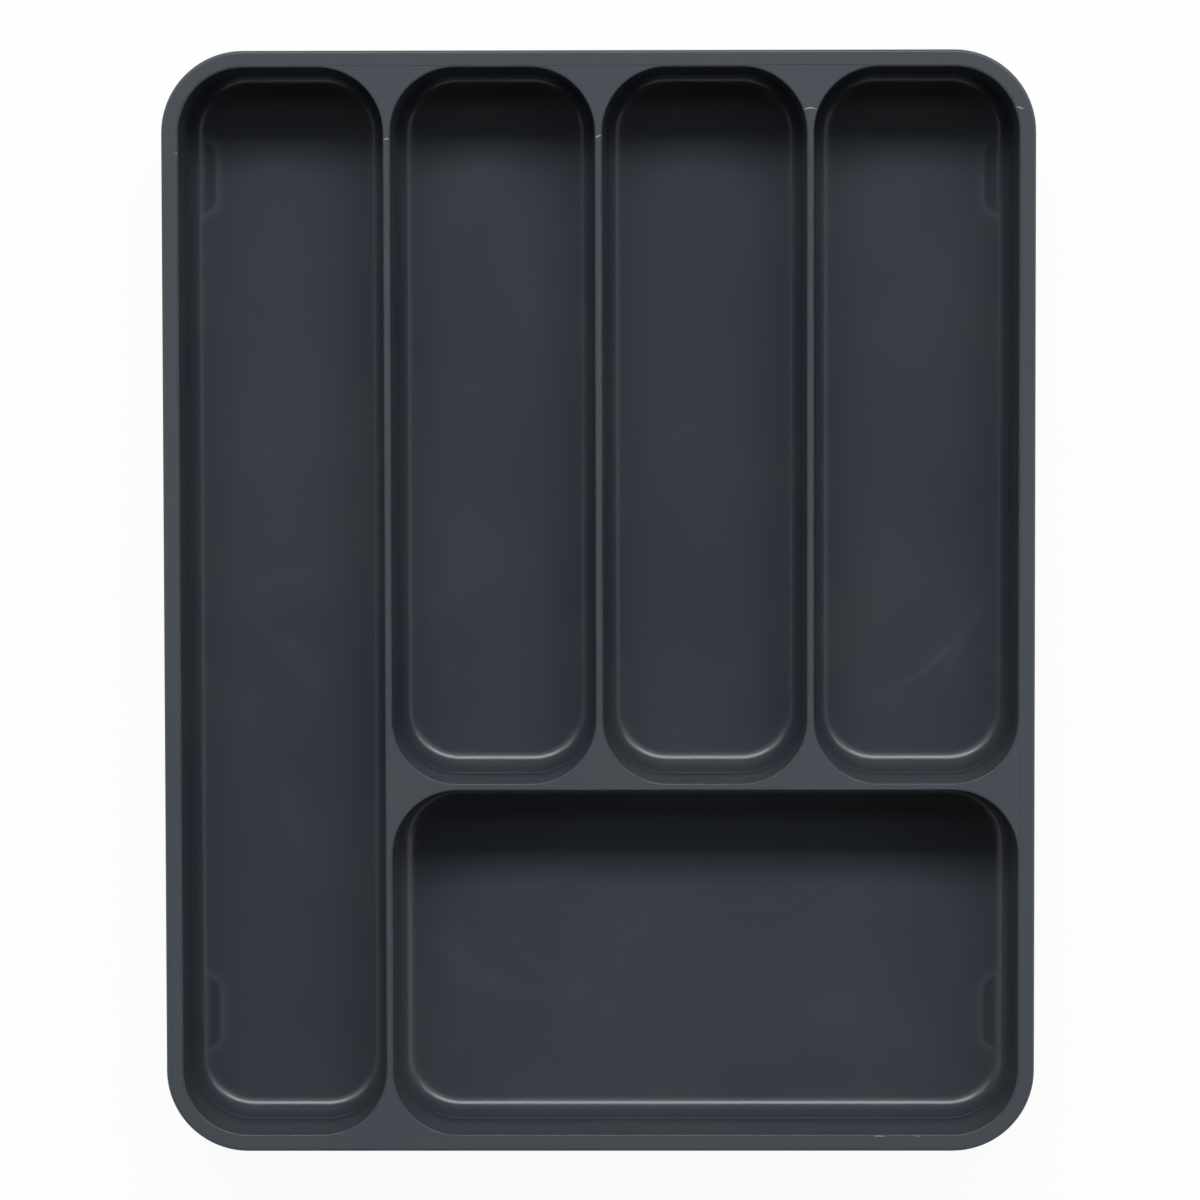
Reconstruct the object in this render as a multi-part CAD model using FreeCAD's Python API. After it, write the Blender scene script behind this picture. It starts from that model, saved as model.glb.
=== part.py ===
"""Cutlery tray: one plastic moulding with five compartments, standing on four soft pads.

The origin is at the middle of the footprint, on the surface that the pads stand on. X runs across the
tray, Y from front to back and Z up. All sizes are in millimetres and degrees.
"""
import FreeCAD, Part

import math
import os
from dataclasses import dataclass

Vector = FreeCAD.Vector

# Overall size, pads included
TRAY_WIDTH = 312.0
TRAY_LENGTH = 395.0
TRAY_HEIGHT = 48.0

# Layout of the compartments, seen from above
COLUMNS = 4
FRONT_LENGTH = 124.3
RIM_WIDTH = 6.0
DIVIDER = 2.5
MOUTH_RADIUS = 23.3

# Moulding
WALL = 2.0
FLOOR = 2.0
DECK = 2.2
DRAFT = 1.2
FLOOR_FILLET = 7.5
MOUTH_EASE = 0.4
RIM_EDGE = 1.0
LIP_HEIGHT = 10.0
LIP_WALL = 2.0

# Witness step on the deck: the field inside the rim band lies a little lower than the band
FIELD_DROP = 0.15
FIELD_MARGIN = 0.6

# Feet: a socket under each corner of the tray holds a soft pad
PAD_LENGTH = 24.8
PAD_WIDTH = 7.2
PAD_INNER_CORNER = 5.0
PAD_OUTER_CORNER = 1.5
PAD_EDGE = 0.3
PAD_PROUD = 0.8
PAD_CLEARANCE = 0.1
SOCKET_DEPTH = 1.4
SOCKET_WALL = 1.3
SOCKET_DROP = 1.2
FOOT_SIDE_INSET = 5.0
FOOT_END_INSET = 38.7
SINK_DEPTH = 0.3

# Heights that follow
SOCKET_BOTTOM = PAD_PROUD
SOCKET_ROOF = SOCKET_BOTTOM + SOCKET_DEPTH
UNDERSIDE = SOCKET_BOTTOM + SOCKET_DROP
FLOOR_TOP = UNDERSIDE + FLOOR
RIM_TOP = TRAY_HEIGHT
FIELD_TOP = RIM_TOP - FIELD_DROP

# Corners of an outline, counter-clockwise: side in X, side in Y, angle where the corner's arc starts
CORNERS = ((-1, -1, 180), (1, -1, 270), (1, 1, 0), (-1, 1, 90))


@dataclass(frozen=True)
class Rect:
    """A rectangle in plan with rounded corners, one radius for each entry of CORNERS."""

    x0: float
    x1: float
    y0: float
    y1: float
    radii: tuple

    def grown(self, by):
        """The same rectangle, larger by a margin all round, with its corners still concentric."""
        radii = tuple(radius + by for radius in self.radii)
        return Rect(self.x0 - by, self.x1 + by, self.y0 - by, self.y1 + by, radii)

    def wire(self, z):
        """The closed outline at a height."""
        edges = []
        arcs = [self._arc(corner, radius, z) for corner, radius in zip(CORNERS, self.radii)]
        for arc, following in zip(arcs, arcs[1:] + arcs[:1]):
            edges.append(Part.Arc(*arc).toShape())
            edges.append(Part.LineSegment(arc[-1], following[0]).toShape())
        return Part.Wire(edges)

    def prism(self, bottom, top):
        """A solid with upright sides."""
        return Part.Face(self.wire(bottom)).extrude(Vector(0, 0, top - bottom))

    def _arc(self, corner, radius, z):
        side_x, side_y, start = corner
        x = (self.x1 if side_x > 0 else self.x0) - side_x * radius
        y = (self.y1 if side_y > 0 else self.y0) - side_y * radius
        angles = [math.radians(start + turn) for turn in (0, 45, 90)]
        return [Vector(x + radius * math.cos(a), y + radius * math.sin(a), z) for a in angles]


def plain_rect(x0, x1, y0, y1, radius):
    """A rectangle with four equal corners."""
    return Rect(x0, x1, y0, y1, (radius,) * len(CORNERS))


def drafted_wire(rect, z):
    """The outline of a drafted wall at a height, where rect is its outline at the deck."""
    return rect.grown(-math.tan(math.radians(DRAFT)) * (FIELD_TOP - z)).wire(z)


def round_edges_at(solid, z, radius):
    """Rounds every edge of a solid that lies flat at a height."""
    edges = [edge for edge in solid.Edges if all(abs(v.Z - z) < 1e-6 for v in edge.Vertexes)]
    return solid.makeFillet(radius, edges)


def drafted_block(rect, bottom, fillet, above=()):
    """A block with drafted sides from the deck down to a rounded bottom edge; above adds wires on top."""
    wires = list(above) or [drafted_wire(rect, FIELD_TOP)]
    block = Part.makeLoft(wires + [drafted_wire(rect, bottom)], True, True)
    return round_edges_at(block, bottom, fillet)


def compartment_rects():
    """Mouths of the five compartments: one long, three short beside it and one wide in front of those."""
    x0, y0 = RIM_WIDTH - TRAY_WIDTH / 2, RIM_WIDTH - TRAY_LENGTH / 2
    column = (-2 * x0 - (COLUMNS - 1) * DIVIDER) / COLUMNS
    pitch = column + DIVIDER
    split = y0 + FRONT_LENGTH
    rects = [plain_rect(x0, x0 + column, y0, -y0, MOUTH_RADIUS)]
    for index in range(1, COLUMNS):
        left = x0 + index * pitch
        rects.append(plain_rect(left, left + column, split + DIVIDER, -y0, MOUTH_RADIUS))
    rects.append(plain_rect(x0 + pitch, -x0, y0, split, MOUTH_RADIUS))
    return rects


def pocket(rect):
    """The space inside a compartment, with an eased edge at its mouth and a rounded floor edge."""
    flare = MOUTH_EASE + FIELD_DROP
    mouth = [rect.grown(flare).wire(RIM_TOP), drafted_wire(rect, FIELD_TOP - MOUTH_EASE)]
    return drafted_block(rect, FLOOR_TOP, FLOOR_FILLET, mouth)


def outer_block(rect):
    """The outside of a compartment or of the whole tub: one wall larger, one floor lower."""
    return drafted_block(rect.grown(WALL), UNDERSIDE, FLOOR_FILLET + FLOOR)


def divider_ribs(rects):
    """Solid cores of the dividers, so that neighbouring compartments share one wall."""
    long_one, wide_one = rects[0], rects[-1]
    bottom = FLOOR_TOP + FLOOR_FILLET / 2
    height = FIELD_TOP - bottom
    ribs = []
    for left, right in zip(rects[:-2], rects[1:-1]):
        front = long_one.y0 if left is long_one else right.y0
        size = (DIVIDER, right.y1 - front, height)
        ribs.append(Part.makeBox(*size, Vector(left.x1, front, bottom)))
    size = (wide_one.x1 - wide_one.x0, DIVIDER, height)
    ribs.append(Part.makeBox(*size, Vector(wide_one.x0, wide_one.y1, bottom)))
    return ribs


def underside_hollows(field, rects):
    """The hollows between the compartments, closed by the deck and open from below inside the tub's edge."""
    block = drafted_block(field, FLOOR_TOP, FLOOR_FILLET, [drafted_wire(field, FIELD_TOP - DECK)])
    inset = math.tan(math.radians(DRAFT)) * (FIELD_TOP - FLOOR_TOP) + FLOOR_FILLET
    mouth = field.grown(-inset).prism(UNDERSIDE, FLOOR_TOP + FLOOR_FILLET)
    shells = [outer_block(rect) for rect in rects]
    return block.fuse(mouth).cut(shells + divider_ribs(rects))


def rim_flange(outer):
    """The rim: a flat band with a rounded outer edge and a lip turned down all round."""
    cover = round_edges_at(outer.prism(RIM_TOP - LIP_HEIGHT, RIM_TOP), RIM_TOP, RIM_EDGE)
    return cover.cut(outer.grown(-LIP_WALL).prism(RIM_TOP - LIP_HEIGHT, RIM_TOP - DECK))


def pad_rect(side_x, side_y):
    """Plan of one foot pad: a D with its straight side towards the side wall of the tray."""
    x = side_x * (TRAY_WIDTH / 2 - RIM_WIDTH - FOOT_SIDE_INSET)
    y = side_y * (TRAY_LENGTH / 2 - RIM_WIDTH - FOOT_END_INSET)
    radii = tuple(PAD_OUTER_CORNER if side == side_x else PAD_INNER_CORNER for side, _, _ in CORNERS)
    return Rect(x - PAD_WIDTH / 2, x + PAD_WIDTH / 2, y - PAD_LENGTH / 2, y + PAD_LENGTH / 2, radii)


def foot_pad(rect):
    """A soft pad with a rounded lower edge."""
    return round_edges_at(rect.prism(0, SOCKET_ROOF), 0, PAD_EDGE)


def sink_marks(pads, pockets):
    """Shallow marks on the floors above the thick sockets, following the floor and its rounded edge."""
    marks = []
    for (side_x, _), pad in pads.items():
        column = pad.grown(PAD_CLEARANCE + SOCKET_WALL).prism(SOCKET_BOTTOM, FLOOR_TOP + FLOOR_FILLET)
        lowered = [space.translated(Vector(side_x * SINK_DEPTH, 0, -SINK_DEPTH)) for space in pockets]
        marks.append(column.common(Part.makeCompound(lowered)))
    return marks


def tray_body(pads):
    """The moulding."""
    outer = plain_rect(-TRAY_WIDTH / 2, TRAY_WIDTH / 2, -TRAY_LENGTH / 2, TRAY_LENGTH / 2,
                       MOUTH_RADIUS + RIM_WIDTH)
    field = outer.grown(-RIM_WIDTH)
    rects = compartment_rects()
    pockets = [pocket(rect) for rect in rects]
    sockets = [pad.grown(PAD_CLEARANCE) for pad in pads.values()]
    bosses = [socket.grown(SOCKET_WALL).prism(SOCKET_BOTTOM, FLOOR_TOP + FLOOR_FILLET) for socket in sockets]
    recesses = [socket.prism(SOCKET_BOTTOM, SOCKET_ROOF) for socket in sockets]
    body = outer_block(field).fuse([rim_flange(outer)])
    body = body.cut(underside_hollows(field, rects))
    body = body.fuse(bosses)
    body = body.cut(field.grown(FIELD_MARGIN).prism(FIELD_TOP, RIM_TOP))
    body = body.cut(pockets + sink_marks(pads, pockets) + recesses)
    return body.removeSplitter()


def main():
    """Builds the moulding and its pads and writes one file for each."""
    corners = {"left": -1, "right": 1}
    ends = {"front": -1, "back": 1}
    pads = {}
    names = {}
    for end, side_y in ends.items():
        for side, side_x in corners.items():
            pads[side_x, side_y] = pad_rect(side_x, side_y)
            names[side_x, side_y] = f"foot_pad_{end}_{side}"
    os.makedirs("parts", exist_ok=True)
    tray_body(pads).exportStep("parts/tray_body.step")
    for key, rect in pads.items():
        foot_pad(rect).exportStep(f"parts/{names[key]}.step")


main()
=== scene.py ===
"""Studio picture of a cutlery tray.

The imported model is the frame. Its soft pads are shown as they are. The moulding is rebuilt here as a finer
mesh of the same size and in the same place, with rounded edges, moulding marks and a handled plastic finish.
"""

import logging
import math
from dataclasses import dataclass, field
from enum import Enum
from typing import Callable, Sequence

import bmesh
import bpy
from bmesh.types import BMVert
from bpy.types import Material, Node, NodeOutputs, NodeSocket, NodeTree, Object
from mathutils import Matrix, Vector
from mathutils.geometry import delaunay_2d_cdt


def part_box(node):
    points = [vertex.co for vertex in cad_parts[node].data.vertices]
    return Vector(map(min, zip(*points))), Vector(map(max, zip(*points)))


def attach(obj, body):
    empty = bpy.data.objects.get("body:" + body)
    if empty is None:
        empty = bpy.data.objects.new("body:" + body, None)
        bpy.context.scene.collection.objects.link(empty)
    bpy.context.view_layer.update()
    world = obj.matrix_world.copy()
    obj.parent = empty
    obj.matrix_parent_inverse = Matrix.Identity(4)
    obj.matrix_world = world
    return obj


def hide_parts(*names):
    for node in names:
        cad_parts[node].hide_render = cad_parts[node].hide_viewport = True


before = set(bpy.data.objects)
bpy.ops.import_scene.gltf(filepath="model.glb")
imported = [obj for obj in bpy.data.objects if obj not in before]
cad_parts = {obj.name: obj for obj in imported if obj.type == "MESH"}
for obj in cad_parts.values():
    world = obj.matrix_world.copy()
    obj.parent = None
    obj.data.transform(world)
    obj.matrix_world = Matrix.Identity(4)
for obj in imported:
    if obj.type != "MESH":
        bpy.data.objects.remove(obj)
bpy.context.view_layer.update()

MM = 0.001
BODY = "root"
log = logging.getLogger("cutlery_tray")

Point = tuple[float, float]
Profile = list[Point]
Colour = tuple[float, float, float]
Opaque = tuple[float, float, float, float]

# Triangles: the part of a grid's step that stays free along an outline, and how close points count as one
GRID_ROOM = 0.4
SAME_POINT = 1e-8

WHITE: Opaque = (1.0, 1.0, 1.0, 1.0)


class Finish(Enum):
    """Surfaces of the moulding, and the value is a material slot. The pockets, the deck and the outside came
    off different faces of the mould; the walls' slot also covers the steep upper part of the floors' rounded
    edges and holds a rougher copy of the pocket plastic, painted darker as shade.
    """

    POCKET = 0
    DECK = 1
    OUTSIDE = 2
    # Painted shade: the walls and the steep part of the floors' rounded edges are drawn darker than the
    # floors
    SHADED_WALL = 3


class Carve(Enum):
    """Ways to combine one closed mesh with another."""

    REMOVE = "DIFFERENCE"
    ADD = "UNION"


def arc(centre: Point, radius: float, start: float, end: float, steps: int) -> Profile:
    """Draws a round stretch of a section.

    Args:
        centre: Middle of the arc.
        radius: Its radius.
        start: Angle of the first point, in degrees from the first axis.
        end: Angle of the last point.
        steps: Number of straight steps.

    Returns:
        The points, both ends included.
    """
    angles = [math.radians(start + (end - start) * i / steps) for i in range(steps + 1)]
    return [(centre[0] + radius * math.cos(a), centre[1] + radius * math.sin(a)) for a in angles]


def line(start: Point, end: Point, steps: int) -> Profile:
    """Draws a straight stretch of a section between two points, without its ends."""
    shares = [i / steps for i in range(1, steps)]
    return [(start[0] + (end[0] - start[0]) * s, start[1] + (end[1] - start[1]) * s) for s in shares]


def smooth_step(low: float, high: float, value: float) -> float:
    """Rises gently from 0 at low to 1 at high."""
    share = min(max((value - low) / (high - low), 0.0), 1.0)
    return share * share * (3 - 2 * share)


@dataclass(frozen=True)
class Plan:
    """A rectangle with rounded corners, seen from above.

    The radii belong to the corners front right, back right, back left and front left.
    """

    x0: float
    x1: float
    y0: float
    y1: float
    radii: tuple[float, float, float, float]
    corner_steps: int = 20
    side_step: float = 2.5 * MM

    def grown(self, by: float) -> "Plan":
        """The same outline, larger by a margin all round."""
        radii = tuple(radius + by for radius in self.radii)
        sides = (self.x0 - by, self.x1 + by, self.y0 - by, self.y1 + by)
        return Plan(*sides, radii, self.corner_steps, self.side_step)

    def points(self, offset: float) -> list[Point]:
        """Walks round the outline, with as many points at every offset.

        Args:
            offset: How far outwards the outline is moved.

        Returns:
            Points in order, counter-clockwise from above.
        """
        wide, deep = self.x1 - self.x0, self.y1 - self.y0
        corners = ((self.x1, self.y0, 1, -1), (self.x1, self.y1, 1, 1),
                   (self.x0, self.y1, -1, 1), (self.x0, self.y0, -1, -1))
        arcs = []
        for index, ((x, y, sx, sy), radius) in enumerate(zip(corners, self.radii)):
            centre = (x - sx * radius, y - sy * radius)
            arcs.append(arc(centre, radius + offset, index * 90 - 90, index * 90, self.corner_steps))
        walk: list[Point] = []
        for index, stretch in enumerate(arcs):
            side = deep if index % 2 == 0 else wide
            straight = side - self.radii[index] - self.radii[(index + 1) % 4]
            steps = max(round(straight / self.side_step), 1)
            walk += stretch + line(stretch[-1], arcs[(index + 1) % 4][0], steps)
        return walk

    @property
    def middle(self) -> Point:
        """The middle of the rectangle."""
        return (self.x0 + self.x1) / 2, (self.y0 + self.y1) / 2

    def grid(self, step: float, offset: float) -> list[Point]:
        """Lists places in a square grid inside the outline.

        Args:
            step: Side of the squares.
            offset: How far outwards the outline is moved.

        Returns:
            The places, clear of the outline by part of a step.
        """
        across, along = round((self.x1 - self.x0) / step), round((self.y1 - self.y0) / step)
        places = [(self.x0 + step * i, self.y0 + step * j) for i in range(across) for j in range(along)]
        room = offset - GRID_ROOM * step
        return [place for place in places if self.distance(*place) < room]

    def distance(self, x: float, y: float) -> float:
        """Distance from the outline, negative inside it."""
        middle_x, middle_y = self.middle
        dx, dy = x - middle_x, y - middle_y
        right, back = dx > 0, dy > 0
        corner = (1 if back else 0) if right else (2 if back else 3)
        radius = self.radii[corner]
        qx = abs(dx) - (self.x1 - self.x0) / 2 + radius
        qy = abs(dy) - (self.y1 - self.y0) / 2 + radius
        return math.hypot(max(qx, 0), max(qy, 0)) + min(max(qx, qy), 0) - radius


def even_plan(x0: float, x1: float, y0: float, y1: float, radius: float) -> Plan:
    """A plan with four equal corners."""
    return Plan(x0, x1, y0, y1, (radius,) * 4)


class Skin:
    """A mesh that grows ring by ring."""

    def __init__(self) -> None:
        """Starts with nothing."""
        self.mesh = bmesh.new()

    def ring(self, plan: Plan, place: Point) -> list[BMVert]:
        """Adds one closed ring of vertices; place is its offset from the plan and its height."""
        return [self.mesh.verts.new((x, y, place[1])) for x, y in plan.points(place[0])]

    def bridge(self, first: list[BMVert], second: list[BMVert], finish: Finish) -> None:
        """Joins two rings of the same plan with a band of quads."""
        count = len(first)
        for i in range(count):
            j = (i + 1) % count
            face = self.mesh.faces.new((first[i], first[j], second[j], second[i]))
            face.material_index = finish.value

    def sweep(self, plan: Plan, profile: Profile, finish: Finish) -> tuple[list[BMVert], list[BMVert]]:
        """Carries a section round a plan.

        Args:
            plan: The outline to follow.
            profile: Offsets from the plan and heights.
            finish: Surface that the bands belong to.

        Returns:
            The first and the last ring.
        """
        rings = [self.ring(plan, place) for place in profile]
        for first, second in zip(rings, rings[1:]):
            self.bridge(first, second, finish)
        return rings[0], rings[-1]

    def fill(self, loops: Sequence[list[BMVert]], finish: Finish, inner: Sequence[Vector] = (),
             keep: Callable[[float, float], bool] = lambda x, y: True) -> None:
        """Closes a flat area with triangles.

        Args:
            loops: Closed rings of vertices that bound the area.
            finish: Surface that the faces belong to.
            inner: Further points inside the area.
            keep: Tells from a triangle's middle whether it belongs to the area.
        """
        verts: list[BMVert] = []
        edges = []
        for loop in loops:
            start, count = len(verts), len(loop)
            verts += loop
            edges += [(start + i, start + (i + 1) % count) for i in range(count)]
        verts += [self.mesh.verts.new(point) for point in inner]
        flat = [vert.co.to_2d() for vert in verts]
        _, _, faces, origins, _, _ = delaunay_2d_cdt(flat, edges, [], 0, SAME_POINT)
        for corners in faces:
            trio = [verts[origins[c][0]] for c in corners]
            middle = sum((vert.co for vert in trio), Vector()) / 3
            if keep(middle.x, middle.y):
                self.mesh.faces.new(trio).material_index = finish.value

    def cap(self, loop: list[BMVert], finish: Finish) -> None:
        """Closes a ring with one flat face."""
        self.mesh.faces.new(loop).material_index = finish.value

    def to_object(self, name: str) -> Object:
        """Turns the mesh into an object with outward faces and an empty slot for each finish."""
        bmesh.ops.recalc_face_normals(self.mesh, faces=self.mesh.faces)
        data = bpy.data.meshes.new(name)
        for _ in Finish:
            data.materials.append(None)
        self.mesh.to_mesh(data)
        self.mesh.free()
        made = bpy.data.objects.new(name, data)
        bpy.context.scene.collection.objects.link(made)
        return made


def wear(piece: Object, finish: Material) -> None:
    """Gives a piece one finish all over."""
    piece.data.materials.clear()
    piece.data.materials.append(finish)


def carve(target: Object, tool: Object, way: Carve) -> None:
    """Combines a closed mesh with a second one, the tool, which is used up."""
    step = target.modifiers.new("carve", "BOOLEAN")
    step.operation = way.value
    step.solver = "EXACT"
    step.object = tool
    seen = target.evaluated_get(bpy.context.evaluated_depsgraph_get())
    result = bpy.data.meshes.new_from_object(seen)
    spent = target.data
    target.modifiers.clear()
    target.data = result
    bpy.data.meshes.remove(spent)
    bpy.data.objects.remove(tool)


@dataclass(frozen=True)
class Section:
    """Heights and thicknesses of the moulding, seen in a cut through it."""

    rim_top: float
    socket_bottom: float
    field_drop: float = 0.15 * MM
    socket_drop: float = 1.2 * MM
    socket_depth: float = 1.4 * MM
    wall: float = 2.0 * MM
    floor: float = 2.0 * MM
    deck: float = 2.2 * MM
    draft: float = 1.2
    floor_fillet: float = 7.5 * MM
    mouth_round: float = 0.48 * MM
    flat_edge: float = 0.06 * MM
    ledge: float = 0.1 * MM
    level_edge: float = 0.4 * MM
    mouth_steps: int = 6
    wall_steps: int = 6
    ledge_steps: int = 4
    foot_steps: int = 14

    @property
    def field_top(self) -> float:
        """Height of the deck inside the rim band."""
        return self.rim_top - self.field_drop

    @property
    def underside(self) -> float:
        """Height of the underside of the floors."""
        return self.socket_bottom + self.socket_drop

    @property
    def floor_top(self) -> float:
        """Height of the floors."""
        return self.underside + self.floor

    def lean(self, z: float) -> float:
        """How far a drafted wall stands in from its place at the deck."""
        return math.tan(math.radians(self.draft)) * (self.field_top - z)

    def hollow_edge(self, bottom: float, radius: float, outward: float) -> Profile:
        """The foot of a wall: a rounded edge from the drafted wall to a level floor.

        Args:
            bottom: Height of the floor.
            radius: Radius of the edge.
            outward: Offset of the wall from its plan at the deck.

        Returns:
            The section from the wall to the floor.
        """
        lean = math.radians(self.draft)
        middle = (outward - self.lean(bottom + radius) - radius / math.cos(lean), bottom + radius)
        return arc(middle, radius, -self.draft, -90, self.foot_steps)

    def outer_edge(self) -> Profile:
        """The rounded lower edge outside a wall."""
        return self.hollow_edge(self.underside, self.floor_fillet + self.floor, self.wall)


@dataclass(frozen=True)
class FootPlace:
    """Where one foot stands, and the plans of its pad, socket, boss and sink mark."""

    side_x: int
    pad: Plan
    clearance: float = 0.1 * MM
    socket_wall: float = 1.3 * MM
    sink_shorter: float = 0.8 * MM
    sink_corner: float = 5.5 * MM
    sink_outward: float = 10.0 * MM

    @property
    def socket(self) -> Plan:
        """Outline of the recess that holds the pad."""
        return self.pad.grown(self.clearance)

    @property
    def boss(self) -> Plan:
        """Outline of the thick boss round the recess."""
        return self.socket.grown(self.socket_wall)

    @property
    def sink(self) -> Plan:
        """Outline of the mark that the boss leaves on the floor; it runs out under the side wall."""
        boss = self.boss
        ends = (boss.y0 + self.sink_shorter, boss.y1 - self.sink_shorter)
        if self.side_x > 0:
            return even_plan(boss.x0, boss.x1 + self.sink_outward, *ends, self.sink_corner)
        return even_plan(boss.x0 - self.sink_outward, boss.x1, *ends, self.sink_corner)


@dataclass
class Compartment:
    """One compartment of the tray: mouth edge, walls, rounded floor edge and floor."""

    plan: Plan
    section: Section
    feet: list[FootPlace]
    sink_depth: float = 0.22 * MM
    sink_slope: float = 1.2 * MM
    sink_top: float = 0.88
    steep_steps: int = 9
    coarse: float = 7.0 * MM
    fine: float = 1.0 * MM

    def mouth_offset(self) -> float:
        """How far the flat edge of the mouth lies outside the plan."""
        return self.section.mouth_round + self.section.flat_edge

    def mouth_profile(self) -> Profile:
        """Section from the deck over the rounded edge of the mouth."""
        top, bead = self.section.field_top, self.section.mouth_round
        edge = arc((bead, top - bead), bead, 90, 180, self.section.mouth_steps)
        return [(self.mouth_offset(), top), *edge]

    def wall_profile(self) -> Profile:
        """Section of the wall, from the mouth down to its foot."""
        cut = self.section
        top = cut.field_top - 2 * cut.mouth_round
        x, z = self._foot()[0]
        upper, lower = (-cut.lean(top), top), (x + cut.ledge, z + 2 * cut.ledge)
        return [upper, *line(upper, lower, cut.wall_steps), lower]

    def ledge_profile(self) -> Profile:
        """Section of the fine rounded ledge below the wall."""
        (x, z), ledge = self._foot()[0], self.section.ledge
        return arc((x + ledge, z), ledge, 90, 180, self.section.ledge_steps)

    def steep_profile(self) -> Profile:
        """Section of the steep upper part of the rounded edge of the floor, which takes the darker plastic of
        the walls as painted shade.
        """
        return self._foot()[1:self.steep_steps]

    def floor_profile(self) -> Profile:
        """Section from the lower part of the rounded edge to the level floor."""
        foot = self._foot()[self.steep_steps:]
        return [*foot, (foot[-1][0] - self.section.level_edge, self.section.floor_top)]

    def _foot(self) -> Profile:
        """The rounded edge between the wall and the floor."""
        cut = self.section
        return cut.hollow_edge(cut.floor_top, cut.floor_fillet, -cut.ledge)

    def sink(self, x: float, y: float) -> float:
        """Depth of the shrinkage over the feet at a place on the floor."""
        slope = self.sink_slope
        inside = [smooth_step(-slope, slope, -foot.sink.distance(x, y)) for foot in self.feet]
        return self.sink_depth * max(inside, default=0.0)

    def floor_points(self, edge: float) -> list[Vector]:
        """Points inside the floor, close together where the floor sinks over a foot.

        Args:
            edge: Offset of the ring that bounds the floor.

        Returns:
            The points, at the floor's height.
        """
        far = [at for at in self.plan.grid(self.coarse, edge) if not self._near_foot(at, self.coarse)]
        near = [at for at in self.plan.grid(self.fine, edge) if self._near_foot(at, 2 * self.sink_slope)]
        return [Vector((x, y, self.section.floor_top)) for x, y in far + near]

    def _near_foot(self, place: Point, margin: float) -> bool:
        """Whether a place lies over a foot or close to it."""
        return any(foot.sink.distance(*place) < margin for foot in self.feet)

    def build(self, skin: Skin) -> list[BMVert]:
        """Adds the compartment to a mesh and returns the ring where it meets the deck."""
        start = len(skin.mesh.verts)
        floor_edge = self.floor_profile()
        # The wall and the steep part of the rounded edge take the darker plastic: painted shade on the steep
        # surfaces
        stretches = ((self.mouth_profile(), Finish.POCKET), (self.wall_profile(), Finish.SHADED_WALL),
                     (self.ledge_profile(), Finish.POCKET), (self.steep_profile(), Finish.SHADED_WALL),
                     (floor_edge, Finish.POCKET))
        rings: list[list[BMVert]] = []
        for profile, finish in stretches:
            first, last = skin.sweep(self.plan, profile, finish)
            if rings:
                skin.bridge(rings[-1], first, finish)
            rings += [first, last]
        skin.fill([rings[-1]], Finish.POCKET, self.floor_points(floor_edge[-1][0]))
        skin.mesh.verts.ensure_lookup_table()
        low = self.section.floor_top + self.section.floor_fillet
        for vert in skin.mesh.verts[start:]:
            depth = self.sink(vert.co.x, vert.co.y) if vert.co.z < low else 0.0
            if depth > 0.0:
                share = min((low - vert.co.z) / self.section.floor_fillet, 1.0)
                vert.co.z -= depth * smooth_step(self.sink_top, 1.0, share)
        return rings[0]


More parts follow.
